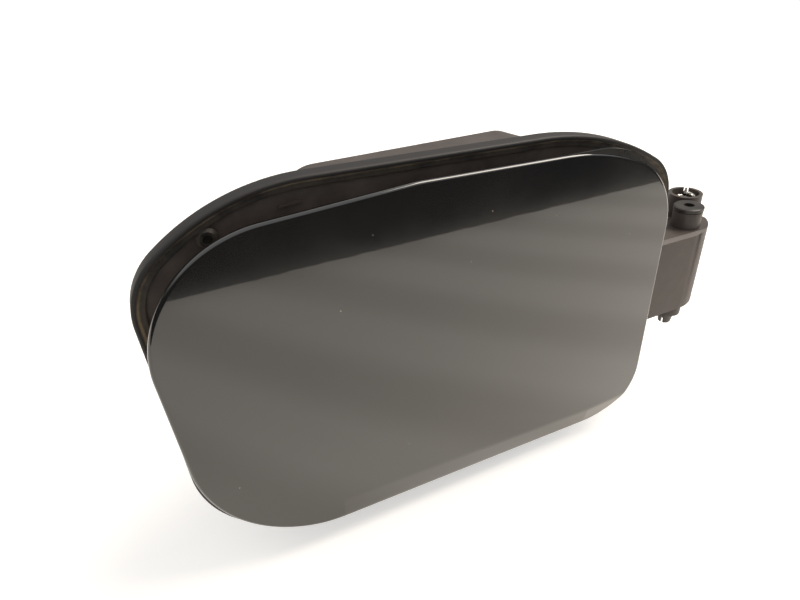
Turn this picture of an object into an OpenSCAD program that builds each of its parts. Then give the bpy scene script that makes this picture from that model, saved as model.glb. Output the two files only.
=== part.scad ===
// Car fuel door: a gloss door on a gooseneck arm, closing a moulded filler pocket.
// The origin is the centre of the filler neck's collar, on the outer face of the pocket's back wall.
// X runs towards the hinge, Y into the car and Z up. The door stands closed. All sizes are in millimetres.

/* [Door skin] */
// Width of the door
door_w = 200; // [194:1:206]
// Height of the door at its left end
door_h = 133.6; // [129:0.2:138]
// Door centre, measured left of the filler neck's axis
door_offset = 8; // [6:0.5:10]
// Distance from the flange's face out to the door's outer face
door_gap = 12; // [11.5:0.25:14]
// Fall of the top edge from its crown to its left end
top_bow = 2.4; // [1.5:0.1:3.5]
// Further fall of the bottom edge towards its right end
bottom_drop = 3; // [2:0.25:4]
// Lean of the left edge at its lower end
side_lean = 1.5; // [0.5:0.25:2.5]
// Corner radius at the upper left
top_left_r = 42; // [38:1:46]
// Corner radius at the upper right
top_right_r = 41; // [37:1:45]
// Corner radius at the lower right
bottom_right_r = 27; // [25:1:32]
// Corner radius at the lower left
bottom_left_r = 52; // [46:1:56]
// Radius of the slow curve at the crown of the top edge
crown_r = 56; // [50:1:60]
// Thickness of the skin's sheet
skin_t = 0.8; // [0.7:0.05:1]
// Width of the hem folded round the inner panel
hem_w = 8; // [6:0.5:9]
// Height of the crease above the bottom edge, at its right-hand end
crease_h = 10.7; // [8:0.25:12]
// Slope of the crease along the door
crease_slope = 2.67; // [2:0.1:3.5]
// Angle by which the strip below the crease leans back
crease_fold = 14; // [8:1:20]

/* [Inner panel] */
// Thickness of the panel's sheet
panel_t = 0.8; // [0.7:0.05:1]
// Width of the panel's flat margin, from the door's edge
panel_margin = 11.5; // [11:0.25:12.5]
// Depth by which the panel's middle stands off the skin
panel_step = 5; // [4:0.25:5.5]
// Width of each pressed bead across the panel's middle
bead_w = 9; // [7:0.5:11]
// Height of the pressed beads
bead_h = 1.6; // [1:0.2:2]
// Diameter of the openings that lighten the panel
light_hole_d = 26; // [20:1:30]
// Diameter of the flutter pads
pad_d = 16; // [12:1:20]
// Distance between the flutter pads along the door
pad_pitch = 120; // [110:2:128]
// Height between the flutter pads
pad_rise = 64; // [56:2:72]

/* [Filler pocket] */
// Depth of the pocket from the flange's face to the back wall's outer face
pocket_d = 46; // [42:1:50]
// Thickness of the flange
flange_t = 2.5; // [2:0.25:3]
// Wall of the bowl
bowl_wall = 2.2; // [1.8:0.1:2.6]
// Width of the rim
rim_w = 207.5; // [203:0.5:210]
// Height of the rim
rim_h = 147; // [143:1:150]
// Rim centre, measured right of the door's centre
rim_offset = 3.2; // [2:0.2:4]
// Rim corner radius at the upper left
rim_top_left_r = 35; // [30:1:40]
// Rim corner radius at the right
rim_right_r = 46; // [42:1:50]
// Rim corner radius at the lower left
rim_bottom_left_r = 42; // [38:1:48]
// Fall of the rim's top edge towards the hinge
rim_top_fall = 4.5; // [3:0.5:6]
// Width of the bowl's mouth
bowl_w = 116; // [112:1:118]
// Height of the bowl's mouth
bowl_h = 120; // [114:1:122]
// Bowl centre right of and above the neck's axis
bowl_offset = 3.5; // [3:0.5:4.5]
// Corner radius at the top of the bowl
bowl_top_r = 18; // [15:1:24]
// Corner radius at the bottom of the bowl
bowl_bottom_r = 32; // [26:1:36]
// Inward draft of the bowl's wall over its depth
bowl_draft = 3.5; // [2:0.5:5]
// Thickness of the stiffening ribs
rib_t = 1.8; // [1.4:0.2:2.2]
// Depth of the ribs at the bowl
rib_d = 14; // [10:1:18]

/* [Filler neck] */
// Radius of the filler neck that the collar grips
neck_r = 28.5; // [26:0.5:31]
// Wall of the rubber collar's sleeve
collar_wall = 3; // [2:0.25:4]
// Length of the sleeve
collar_l = 16; // [12:1:20]
// Radius of the hole in the back wall
neck_hole_r = 36; // [35:0.5:38]
// Width of the collar's lips beyond the hole
collar_lip = 4; // [3:0.25:5]
// Thickness of the collar's lips
lip_t = 2.4; // [2:0.1:3]
// Thickness of the retainer ring
retainer_t = 2.5; // [2:0.1:3]

/* [Hinge] */
// Distance from the filler neck's axis to the hinge pin
pin_reach = 122.7; // [121.5:0.1:124]
// Depth of the hinge pin behind the door's outer face
pin_depth = 17; // [16.8:0.1:18]
// Height of the hinge's middle, from the neck's axis
hinge_z = -3.8; // [-6:0.2:-2]
// Radius of the hinge pin
pin_r = 3.5; // [3:0.1:3.8]
// Radius of the hole down the pin's middle
pin_core_r = 2.2; // [1.5:0.1:2.4]
// Radius of the pin's head
pin_head_r = 6.4; // [5.8:0.1:6.5]
// Thickness of the pin's head
pin_head_t = 2.2; // [1.8:0.1:2.6]
// Length of the slotted snap tip
pin_tip_l = 7; // [5:0.5:8]
// Radial clearance of the arm's hub on the pin
running_gap = 0.05; // [0.03:0.01:0.08]
// Height of the hinge box
box_h = 35.4; // [34:0.2:38]
// Distance from the pin to the hinge box's right side
box_side = 16.5; // [15.5:0.25:18]
// Distance from the pin forward to the hinge box's front
box_front = 9.4; // [9:0.1:9.6]
// Wall of the hinge box
box_wall = 2.2; // [1.8:0.1:2.3]
// Radius of the hinge box's front corner
box_corner_r = 20; // [16:1:22]
// Radius of the pin bosses
boss_r = 6.2; // [5.6:0.1:6.4]
// Height of the upper boss
upper_boss_h = 7.5; // [6:0.5:8]
// Height of the lower boss
lower_boss_h = 9.5; // [8:0.5:11]

/* [Hinge arm] */
// Height of the arm
arm_h = 24; // [20:1:26]
// Width of the arm's flanges
arm_w = 7; // [6:0.25:7.5]
// Thickness of the arm's web
arm_web = 3; // [2.5:0.25:4]
// Thickness of the arm's flanges
arm_flange_t = 2.5; // [2:0.25:3]
// Distance from the pin back to the arm's long run
arm_reach_back = 33; // [32.5:0.1:33.4]
// Distance from the pin to the arm's run towards the door
arm_reach_side = 48.7; // [47:0.1:49]
// Bend radius of the arm's middle line
arm_bend_r = 12; // [9:0.5:14]
// Radius of the hub
hub_r = 6.4; // [6:0.1:6.5]
// Clearance at each end of the hub
hub_end_gap = 0.4; // [0.3:0.1:0.6]
// Length of the arm's foot on the inner panel
foot_l = 44; // [40:1:50]
// Thickness of the foot
foot_t = 4; // [3:0.25:4]

/* [Snap spring] */
// Radius of the spring's wire
wire_r = 0.7; // [0.6:0.05:0.8]
// Radius of the coil's middle line
coil_r = 4.2; // [3.8:0.1:4.4]
// Number of turns
coil_turns = 3.5; // [2.5:1:4.5]
// Outer radius of the spring cup
cup_r = 7.4; // [7.2:0.1:7.6]
// Wall of the spring cup
cup_wall = 1.5; // [1.2:0.1:1.7]
// Height of the cup above the hinge box
cup_h = 10.2; // [9:0.2:11]
// Distance from the hinge pin to the middle of the spring cup
cup_reach = 14.5; // [14.3:0.1:15]
// Height of the lobe on the hub that the spring rides over
lobe_h = 0.6; // [0.4:0.1:0.7]

/* [Lock and stops] */
// Distance from the door's centre to the catch
catch_reach = 80; // [78:0.5:82]
// Length of the catch behind the inner panel
catch_l = 29; // [27:0.5:30]
// Thickness of the catch's blade
catch_t = 4; // [3:0.25:5]
// Height of the catch's blade
catch_h = 16; // [14:0.5:18]
// Radius of the eye that the locking bolt enters
eye_r = 4.6; // [4.4:0.1:5]
// Radius of the locking bolt's guide
bolt_r = 4; // [3.6:0.1:4.2]
// Wall of the guide bush
bush_wall = 1.5; // [1:0.1:2]
// Clearance round the catch in its slot
catch_gap = 3; // [2:0.25:3.5]
// Distance from the door's centre line up and down to the buffers
buffer_z = 26; // [24:0.5:30]
// Distance from the door's centre to the buffers
buffer_reach = 79; // [77:0.5:80]
// Radius of the buffers
buffer_r = 5; // [4:0.25:5.5]
// Gap left between buffer and closed door
rest_gap = 0.3; // [0.2:0.05:0.4]

/* [Fasteners and seals] */
// Distance from the rim's top and bottom in to the body screws
screw_inset = 14.8; // [14.2:0.1:16]
// Distance from the door's centre to the body screws
screw_reach = 74.6; // [74:0.1:76]
// Radius of the body screws' shank
screw_r = 2.4; // [2:0.1:2.6]
// Radius of the body screws' heads
screw_head_r = 3.4; // [3.2:0.1:4]
// Length of the body screws behind the flange
screw_l = 14; // [10:1:16]
// Width of the rim seal
seal_w = 5; // [4.5:0.25:6]
// Height by which the seal's lip stands proud of the flange
seal_lip = 2.5; // [2:0.1:3]
// Thickness of the seal behind the flange
seal_back = 1.6; // [1.2:0.1:2]
// Height of the tabs that carry the body clips
tab_l = 12; // [10:1:14]
// Width of the tabs
tab_w = 14; // [12:1:16]
// Thickness of the clips' spring steel
clip_t = 0.6; // [0.5:0.05:0.8]
// Radius of the drain spigot
drain_r = 6; // [5:0.25:7]
// Length of the drain spigot
drain_l = 9; // [7:0.5:10]
// Wall of the rubber drain valve
valve_wall = 1.5; // [1.2:0.1:1.8]
// Length of the valve's outlet below the spigot
valve_l = 8; // [6:0.2:9]
// Width of the cap holder's base
holder_w = 34; // [32:1:38]
// Height of the cap holder's base
holder_h = 22; // [20:1:26]
// Width between the cap holder's jaws
jaw_gap = 18; // [16:0.5:20]
// Length of the jaws behind the inner panel
holder_l = 16; // [14:1:18]

/* [Hidden] */
$fn = 64;
cut = 0.5;          // how far a cut runs past the face that it opens
lap = 0.4;          // how far two shapes of one moulding run into each other
ease = 0.02;        // how far a straight lies inside its corners' tangent, so that the two cross

// Depths along Y
flange_y = -pocket_d;
face_y = flange_y - door_gap;
hem_t = 2 * skin_t + panel_t;
hem_y = face_y + hem_t;
panel_y = face_y + skin_t + panel_step + panel_t;
pin_y = face_y + pin_depth;
box_y = pin_y - box_front;

// Places along X
door_x = -door_offset;
rim_x = door_x + rim_offset;
pin_x = pin_reach;
box_right = pin_x + box_side;
box_left = pin_x - arm_reach_back + arm_w / 2 + 1.2;
catch_x = door_x - catch_reach;
screw_x = door_x - screw_reach;
screw_z = rim_h / 2 - screw_inset;
buffer_x = door_x - buffer_reach;

// Each outline is a row of corner circles [x, z, radius], anticlockwise seen from outside,
// joined by their common tangents.
door_edge = [
    [door_x + door_w / 2 - 0.6 - bottom_right_r, -door_h / 2 - bottom_drop + bottom_right_r, bottom_right_r],
    [door_x + door_w / 2 - top_right_r, door_h / 2 - top_bow / 3 - top_right_r, top_right_r],
    [door_x - door_w / 20, door_h / 2 - crown_r, crown_r],
    [door_x - door_w / 2 + top_left_r, door_h / 2 - top_bow - top_left_r, top_left_r],
    [door_x - door_w / 2 + side_lean + bottom_left_r, -door_h / 2 + bottom_left_r, bottom_left_r]
];
rim_edge = [
    [rim_x + rim_w / 2 - rim_right_r, -rim_h / 2 + rim_right_r, rim_right_r],
    [rim_x + rim_w / 2 - rim_right_r, rim_h / 2 - rim_top_fall - rim_right_r, rim_right_r],
    [rim_x - rim_w / 2 + rim_top_left_r, rim_h / 2 - rim_top_left_r, rim_top_left_r],
    [rim_x - rim_w / 2 + rim_bottom_left_r, -rim_h / 2 + rim_bottom_left_r, rim_bottom_left_r]
];
bowl_left = bowl_offset - bowl_w / 2;
bowl_right = bowl_offset + bowl_w / 2;
bowl_top = bowl_offset + bowl_h / 2;
bowl_bottom = bowl_offset - bowl_h / 2;
bowl_edge = [
    [bowl_right - bowl_bottom_r, bowl_bottom + bowl_bottom_r, bowl_bottom_r],
    [bowl_right - bowl_top_r, bowl_top - bowl_top_r, bowl_top_r],
    [bowl_left + bowl_top_r, bowl_top - bowl_top_r, bowl_top_r],
    [bowl_left + bowl_bottom_r, bowl_bottom + bowl_bottom_r, bowl_bottom_r]
];

// Angle of the outward normal of the common tangent from circle a to circle b
function tangent_angle(a, b) = let (d = [b[0] - a[0], b[1] - a[1]])
    atan2(d[1], d[0]) - acos((a[2] - b[2]) / norm(d));
// Point of circle c at an angle, moved inwards by an inset
function on_circle(c, angle, inset = 0) = [c[0], c[1]] + (c[2] - inset) * [cos(angle), sin(angle)];
// Next corner of a closed outline
function after(edge, i) = edge[(i + 1) % len(edge)];
// Remainder of an angle within one turn
function turn(angle) = angle - 360 * floor(angle / 360);

// A closed outline, moved inwards by an inset
module outline_fill(edge, inset = 0) {
    in = inset + ease;
    polygon([for (i = [0 : len(edge) - 1]) let (n = tangent_angle(edge[i], after(edge, i)))
        each [on_circle(edge[i], n, in), on_circle(after(edge, i), n, in)]]);
    for (c = edge)
        translate([c[0], c[1]])
            circle(r = c[2] - inset);
}

// A ring between two insets of an outline
module outline_ring(edge, from, to) {
    difference() {
        outline_fill(edge, from);
        outline_fill(edge, to);
    }
}

// A profile carried round an outline: its x runs outwards from the outline and its y along the axis
module outline_sweep(edge) {
    for (i = [0 : len(edge) - 1]) {
        here = after(edge, i);
        start = tangent_angle(edge[i], here);
        end = tangent_angle(here, after(edge, i + 1));
        foot = on_circle(edge[i], start);
        tip = on_circle(here, start);
        translate([tip[0], tip[1], 0])
            rotate([90, 0, start])
                linear_extrude(norm(tip - foot))
                    children();
        translate([here[0], here[1], 0])
            rotate([0, 0, start])
                rotate_extrude(angle = turn(end - start))
                    translate([here[2], 0])
                        children();
    }
}

// Stands an upright drawing in the car's frame: its height runs outwards, against Y
module facing(y) {
    translate([0, y, 0])
        rotate([90, 0, 0])
            children();
}

// A drawing in X and Z, made solid between two depths
module slab(y0, y1) {
    facing(y1)
        linear_extrude(y1 - y0)
            children();
}

// A shape turned about an axis along Y: its profile gives radius and height
module turned(x, y, z) {
    translate([x, y, z])
        rotate([-90, 0, 0])
            rotate_extrude()
                children();
}

// A round hole or peg along Y
module peg(x, z, y0, y1, r) {
    translate([x, y0, z])
        rotate([-90, 0, 0])
            cylinder(h = y1 - y0, r = r);
}

// A rectangle with round corners
module soft_rect(w, h, r) {
    square([w - 2 * r, h], center = true);
    square([w, h - 2 * r], center = true);
    for (sx = [-1, 1], sz = [-1, 1])
        translate([sx * (w / 2 - r), sz * (h / 2 - r)])
            circle(r = r);
}

// The door's outline as an upright block, deep enough for every layer of the door
module door_block(inset) {
    translate([0, 0, -door_gap])
        linear_extrude(2 * door_gap)
            outline_fill(door_edge, inset);
}

// A layer of the door between two depths behind its outer face, bent back below the crease
crease_x = door_x + door_w / 2 - 11;
crease_z = -door_h / 2 - bottom_drop + crease_h;
function on_crease(depth) = [depth * tan(crease_fold / 2), -depth];
function under_crease(depth) = on_crease(depth) - 40 * [cos(crease_fold), sin(crease_fold)];

module bent_layer(from, to) {
    translate([crease_x, crease_z, hem_t])
        rotate([90, 0, 90 + crease_slope])
            linear_extrude(3 * door_w, center = true)
                polygon([
                    [2 * door_h, -from],
                    on_crease(from),
                    under_crease(from),
                    under_crease(to),
                    on_crease(to),
                    [2 * door_h, -to]
                ]);
}

// Pressed sheet with a crease above its lower edge, its rim folded flat round the inner panel
module door_skin() color("#5f5a54")
    facing(hem_y)
        difference() {
            intersection() {
                door_block(0);
                bent_layer(0, hem_t);
            }
            intersection() {
                door_block(skin_t);
                bent_layer(skin_t, skin_t + panel_t);
            }
            intersection() {
                door_block(hem_w);
                bent_layer(skin_t, hem_t + cut);
            }
        }

// Levels of the inner panel, measured outwards from the hem's back face
panel_edge = skin_t + 0.3;
middle_back = skin_t - panel_step;

bead_x = [-46, -6, 34];
module bead_plan(x, grow = 0) {
    translate([door_x + x, 0])
        soft_rect(bead_w + 2 * grow, 0.62 * door_h + 2 * grow, bead_w / 2 + grow - 0.01);
}

light_holes = [[-26, -30], [14, -30], [-26, 30], [14, 30]];

// Drawn sheet: a margin held in the skin's hem, and a middle that stands off the skin
module door_inner_panel() color("#2c2b2a")
    facing(hem_y)
        difference() {
            union() {
                intersection() {
                    difference() {
                        door_block(panel_edge);
                        door_block(panel_margin + panel_t);
                    }
                    bent_layer(skin_t, skin_t + panel_t);
                }
                translate([0, 0, middle_back])
                    linear_extrude(panel_step + panel_t)
                        outline_ring(door_edge, panel_margin, panel_margin + panel_t);
                translate([0, 0, middle_back])
                    linear_extrude(panel_t)
                        outline_fill(door_edge, panel_margin + panel_t / 2);
                for (x = bead_x)
                    translate([0, 0, middle_back])
                        linear_extrude(panel_t + bead_h)
                            bead_plan(x);
            }
            for (x = bead_x)
                translate([0, 0, middle_back - cut])
                    linear_extrude(bead_h + cut)
                        bead_plan(x, -panel_t);
            for (p = light_holes)
                panel_hole(door_x + p[0], p[1], light_hole_d / 2);
            for (p = arm_screw_places)
                panel_hole(p[0], p[1], arm_screw_r);
            for (s = [-1, 1])
                panel_hole(catch_x, s * rivet_z, rivet_r);
        }

module panel_hole(x, z, r) {
    translate([x, z, middle_back - cut])
        cylinder(h = panel_t + 2 * cut, r = r);
}

// Soft mastic pads that keep the skin from drumming on the panel
module flutter_pads() color("#3a3a38")
    for (sx = [-1, 1], sz = [-1, 1])
        peg(holder_x + sx * pad_pitch / 2, sz * pad_rise / 2, face_y + skin_t, face_y + skin_t + panel_step,
            pad_d / 2);

// The arm's middle line, drawn about the pin with a given width
module arm_track(w) {
    turn_y = arm_reach_back - arm_bend_r;
    turn_x = arm_reach_side - arm_bend_r;
    foot_y = panel_y + foot_t / 2 - pin_y;
    translate([-w / 2, 0])
        square([w, turn_y]);
    translate([-turn_x, arm_reach_back - w / 2])
        square([turn_x - arm_bend_r, w]);
    translate([-arm_reach_side - w / 2, foot_y])
        square([w, turn_y - foot_y]);
    bend(-arm_bend_r, turn_y, w, 0);
    bend(-turn_x, turn_y, w, 1);
}

// A quarter bend of the arm about x, y; side 0 turns to the right of it and side 1 to the left
module bend(x, y, w, side) {
    translate([x, y])
        intersection() {
            difference() {
                circle(r = arm_bend_r + w / 2);
                circle(r = arm_bend_r - w / 2);
            }
            translate([-side * (arm_bend_r + w), 0])
                square(arm_bend_r + w);
        }
}

foot_right = pin_x - arm_reach_side + arm_w / 2 - 1;
arm_screw_r = 2;
arm_screw_places = [
    [foot_right - foot_l + 7, hinge_z + 7],
    [foot_right - foot_l + 7, hinge_z - 7],
    [foot_right - foot_l + 20, hinge_z]
];

module hinge_arm() color("#262424")
    difference() {
        union() {
            translate([pin_x, pin_y, hinge_z]) {
                translate([0, 0, -arm_h / 2])
                    linear_extrude(arm_h)
                        arm_track(arm_web);
                for (z = [-arm_h / 2, arm_h / 2 - arm_flange_t])
                    translate([0, 0, z])
                        linear_extrude(arm_flange_t)
                            arm_track(arm_w);
                arm_ribs();
                translate([0, 0, hub_end_gap + box_wall - box_h / 2])
                    cylinder(h = hub_l, r = hub_r);
                translate([0, 0, lobe_z - hinge_z])
                    rotate([0, 0, lobe_from])
                        rotate_extrude(angle = lobe_to - lobe_from)
                            translate([hub_r - lap, 0])
                                square([lobe_h + lap, 4 * wire_r]);
            }
            arm_foot();
        }
        translate([pin_x, pin_y, hinge_z - box_h / 2])
            cylinder(h = box_h, r = pin_r + running_gap);
        for (p = arm_screw_places)
            peg(p[0], p[1], panel_y - cut, panel_y + foot_t + cut, arm_screw_r);
    }

hub_l = box_h - 2 * box_wall - 2 * hub_end_gap;

// Cross ribs that tie the arm's two flanges together
module arm_ribs() {
    turn_y = arm_reach_back - arm_bend_r;
    run = arm_reach_side - 2 * arm_bend_r;
    for (k = [0.42, 0.81])
        arm_rib(0, k * turn_y, 90);
    for (k = [0.2, 0.5, 0.8])
        arm_rib(-arm_bend_r - k * run, arm_reach_back, 0);
    for (k = [0.1, 0.57])
        arm_rib(-arm_reach_side, k * turn_y, 90);
}

module arm_rib(x, y, angle) {
    translate([x, y, 0])
        rotate([0, 0, angle])
            cube([rib_t, arm_w - 1, arm_h - 2 * lap], center = true);
}

// The foot that spreads the arm's load over the inner panel, with gussets up to the arm.
// They start past the channel's wall, so that the closed door clears it.
module arm_foot() {
    gusset_left = channel_left + box_wall + 1.2;
    slab(panel_y, panel_y + foot_t)
        translate([foot_right - foot_l / 2, hinge_z])
            soft_rect(foot_l, arm_h + 2, 4);
    for (s = [-1, 1])
        translate([0, 0, hinge_z + s * (arm_h / 2 - arm_flange_t / 2) - rib_t / 2])
            linear_extrude(rib_t)
                polygon([
                    [foot_right - arm_w / 2, panel_y + foot_t / 2],
                    [foot_right - arm_w / 2, panel_y + foot_t + 12],
                    [foot_right - arm_w, panel_y + foot_t + 12],
                    [gusset_left, panel_y + foot_t + 3],
                    [gusset_left, panel_y + foot_t / 2]
                ]);
}

// A pan-head screw along Y: its head at y and its shank running by length towards the door
module arm_screws() color("#8c8f92")
    for (p = arm_screw_places) {
        peg(p[0], p[1], panel_y - panel_t - 2, panel_y + foot_t, arm_screw_r);
        difference() {
            turned(p[0], panel_y + foot_t, p[1])
                polygon([[0, 0], [3.8, 0], [3.8, 1.2], [2.8, 2.4], [0, 2.4]]);
            peg(p[0], p[1], panel_y + foot_t + 1, panel_y + foot_t + 2.4 + cut, 1.2);
        }
    }

rivet_r = 1.6;
rivet_head_r = 2.9;
rivet_z = catch_h / 2 + rivet_head_r + 0.4;
eye_y = panel_y + catch_l - 7;

// The catch: a base riveted to the inner panel and a blade with the bolt's eye
module lock_catch() color("#2a2828")
    difference() {
        union() {
            slab(panel_y, panel_y + 3)
                translate([catch_x, 0])
                    soft_rect(12, 2 * rivet_z + 7, 3);
            translate([catch_x - catch_t / 2, 0, 0])
                rotate([90, 0, 90])
                    linear_extrude(catch_t)
                        catch_blade();
            for (z = [-3.5, 3.5])
                translate([catch_x, panel_y + 1, z - rib_t / 2])
                    linear_extrude(rib_t)
                        polygon([[-5, 0], [5, 0], [catch_t / 2, 8], [-catch_t / 2, 8]]);
        }
        translate([catch_x - catch_t, eye_y, 0])
            rotate([0, 90, 0])
                cylinder(h = 2 * catch_t, r = eye_r);
        for (s = [-1, 1])
            peg(catch_x, s * rivet_z, panel_y - cut, panel_y + 3 + cut, rivet_r);
    }

// Outline of the blade in Y and Z: straight flanks and a rounded nose
module catch_blade() {
    nose_r = catch_h / 2;
    translate([panel_y + 1, -catch_h / 2])
        square([catch_l - 1 - nose_r, catch_h]);
    translate([panel_y + catch_l - nose_r, 0])
        circle(r = nose_r);
}

module catch_rivets() color("#9a9da0")
    for (s = [-1, 1]) {
        peg(catch_x, s * rivet_z, panel_y - panel_t, panel_y + 3, rivet_r);
        turned(catch_x, panel_y + 3, s * rivet_z)
            polygon([[0, 0], [rivet_head_r, 0], [rivet_head_r - 0.3, 0.9], [rivet_r, 1.4], [0, 1.4]]);
        peg(catch_x, s * rivet_z, panel_y - panel_t - 1.2, panel_y - panel_t, 2.6);
    }

// Two sprung jaws that hold the grip of the filler cap while the tank is filled
holder_x = door_x - 6;
module cap_holder() color("#2a2828") {
    jaw = jaw_gap / 2;
    slab(panel_y, panel_y + 2.2)
        translate([holder_x, 0])
            soft_rect(holder_w, holder_h, 4);
    for (s = [-1, 1])
        translate([holder_x, 0, 3 - holder_h / 2])
            linear_extrude(holder_h - 6)
                polygon([
                    [s * jaw, panel_y + 2],
                    [s * (jaw + 4), panel_y + 2],
                    [s * (jaw + 2.2), panel_y + 5],
                    [s * (jaw + 2.2), panel_y + holder_l - 5],
                    [s * (jaw + 0.2), panel_y + holder_l - 2.5],
                    [s * (jaw + 3.5), panel_y + holder_l],
                    [s * (jaw + 1.5), panel_y + holder_l],
                    [s * (jaw - 2), panel_y + holder_l - 2.5],
                    [s * jaw, panel_y + holder_l - 6]
                ]);
}

arm_clear = 0.3;
box_back = pin_y + arm_reach_back + arm_w / 2 + arm_clear + box_wall;
box_top = hinge_z + box_h / 2;
box_bottom = hinge_z - box_h / 2;
channel_left = bowl_right - bowl_wall / 2;

// Plan of the hinge box and of the arm's channel beside it, moved inwards by an inset
module box_plan(inset) {
    corner = [box_right - box_corner_r, box_y + box_corner_r];
    translate([box_left - box_wall + inset, box_y + inset])
        square([corner[0] - box_left + box_wall - inset, box_back - box_y - 2 * inset]);
    translate(corner)
        circle(r = box_corner_r - inset);
    translate(corner)
        square([box_corner_r - inset, box_back - corner[1] - inset]);
    translate([channel_left + inset, flange_y + inset])
        square([box_left - channel_left, box_back - flange_y - 2 * inset]);
}

// The box seen from the front: round lower and upper corners at its right-hand side
module box_face() {
    low_r = 5;
    high_r = 3;
    translate([channel_left, box_bottom])
        square([box_right - low_r - channel_left, box_h]);
    translate([box_right - low_r - cut, box_bottom + low_r])
        square([low_r + cut, box_h - low_r - high_r]);
    translate([box_right - low_r, box_bottom + low_r])
        circle(r = low_r);
    translate([box_right - high_r - low_r, box_top - high_r])
        square([low_r, high_r]);
    translate([box_right - high_r, box_top - high_r])
        circle(r = high_r);
}

// The box seen from the side, with its top's front edge chamfered
module box_side_face() {
    polygon([
        [box_y, box_bottom],
        [box_back, box_bottom],
        [box_back, box_top],
        [box_y + 2, box_top],
        [box_y, box_top - 1]
    ]);
}

module hinge_box() {
    intersection() {
        translate([0, 0, box_bottom])
            linear_extrude(box_h)
                box_plan(0);
        slab(box_y - cut, box_back)
            box_face();
        translate([channel_left, 0, 0])
            rotate([90, 0, 90])
                linear_extrude(box_right - channel_left)
                    box_side_face();
    }
    translate([pin_x, pin_y, box_top - lap])
        cylinder(h = upper_boss_h + lap, r = boss_r);
    translate([pin_x, pin_y, box_bottom - lower_boss_h])
        cylinder(h = lower_boss_h + lap, r = boss_r);
    translate([cup_x, cup_y, box_top - lap])
        cylinder(h = cup_h + lap, r = cup_r);
}

cup_angle = 49;
cup_x = pin_x + cup_reach * cos(cup_angle);
cup_y = pin_y + cup_reach * sin(cup_angle);
cup_top = box_top + cup_h;
cup_floor = box_top + 1.2;
leg_z = box_top - 8;
lobe_z = leg_z - 2 * wire_r;
lobe_from = cup_angle - 65;
lobe_to = cup_angle - 25;
drop_r = coil_r;
top_leg_angle = 40;

module hinge_box_cuts() {
    translate([0, 0, box_bottom + box_wall])
        linear_extrude(box_h - 2 * box_wall)
            box_plan(box_wall);
    slab(box_y - cut, flange_y + flange_t + cut)
        translate([channel_left + box_wall, box_bottom + box_wall])
            square([box_left - channel_left - box_wall, box_h - 2 * box_wall]);
    translate([pin_x, pin_y, box_bottom - lower_boss_h - cut])
        cylinder(h = box_h + upper_boss_h + lower_boss_h + 2 * cut, r = pin_r + running_gap);
    translate([cup_x, cup_y, cup_floor])
        cylinder(h = cup_h, r = cup_r - cup_wall);
    translate([cup_x, cup_y, box_top - box_wall - cut])
        rotate([0, 0, cup_angle + 180])
            translate([drop_r, 0, 0])
                cylinder(h = 2 * box_wall + cut, r = wire_r + 0.5);
    translate([cup_x, cup_y, cup_top - 3 * wire_r])
        rotate([0, 0, top_leg_angle])
            translate([0, -wire_r - 0.3, 0])
                cube([2 * cup_r, 2 * wire_r + 0.6, 4 * wire_r]);
}

// The lock box behind the flange: the catch enters it and the bolt crosses it
lock_wall = 2;
lock_half_w = catch_t / 2 + catch_gap + 3;
lock_half_h = catch_h / 2 + catch_gap;
lock_back = eye_y + 12;

module lock_box() {
    slab(flange_y, lock_back)
        translate([catch_x, 0])
            soft_rect(2 * (lock_half_w + lock_wall), 2 * (lock_half_h + lock_wall), 3);
}

module lock_box_cuts() {
    slab(flange_y - cut, lock_back - lock_wall)
        translate([catch_x, 0])
            soft_rect(2 * lock_half_w, 2 * lock_half_h, 1.5);
    translate([catch_x, eye_y, 0])
        rotate([0, -90, 0])
            cylinder(h = 2 * lock_half_w, r = bolt_r + bush_wall);
}

// Where the bowl's wall has moved inwards at a given depth behind the flange
function draft_at(depth) = bowl_draft * depth / pocket_d;

module bowl_wall_profile() {
    polygon([
        [0, 0],
        [-bowl_wall, 0],
        [-bowl_wall - draft_at(pocket_d), -pocket_d],
        [-draft_at(pocket_d), -pocket_d]
    ]);
}

// A tapered rib behind the flange, running from the bowl's wall at x, z towards the rim
module rib(x, z, angle, reach) {
    translate([x, flange_y, z])
        rotate([0, -angle, 0])
            linear_extrude(rib_t, center = true)
                polygon([
                    [-bowl_wall / 2, flange_t / 2],
                    [reach, flange_t / 2],
                    [reach, flange_t + 3],
                    [-bowl_wall / 2 - draft_at(rib_d), rib_d]
                ]);
}

module ribs() {
    to_left = bowl_left - rim_x + rim_w / 2 - rib_inset;
    for (z = [-38, -22, 22, 38])
        rib(bowl_left, z, 180, to_left - 3);
    for (x = [-24, -4, 12, 32])
        rib(x, bowl_bottom, -90, bowl_bottom + rim_h / 2 - rib_inset);
    for (x = [-36, -12, 12, 36])
        rib(x, bowl_top, 90, rim_h / 2 - bowl_top - rib_inset);
}

// A raised bead that stiffens the flange behind its edge
rib_inset = seal_w + 2;
module edge_bead() {
    slab(flange_y + flange_t - lap, flange_y + flange_t + 3)
        outline_ring(rim_edge, rib_inset, rib_inset + rib_t);
}

tab_t = 2;
clip_places = [[-74, 45], [78, 43], [-74, -45], [78, -43]];

// Tabs that carry the steel clips, two at each end of the bowl
module tabs() {
    for (p = clip_places)
        slab(flange_y + flange_t - lap, flange_y + flange_t + tab_l)
            translate([p[0], p[1]])
                square([tab_w, tab_t], center = true);
}

drain_x = 4;
drain_y = -16;
drain_from = bowl_bottom + draft_at(pocket_d + drain_y) + bowl_wall / 2;
drain_to = bowl_bottom - drain_l;

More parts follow.
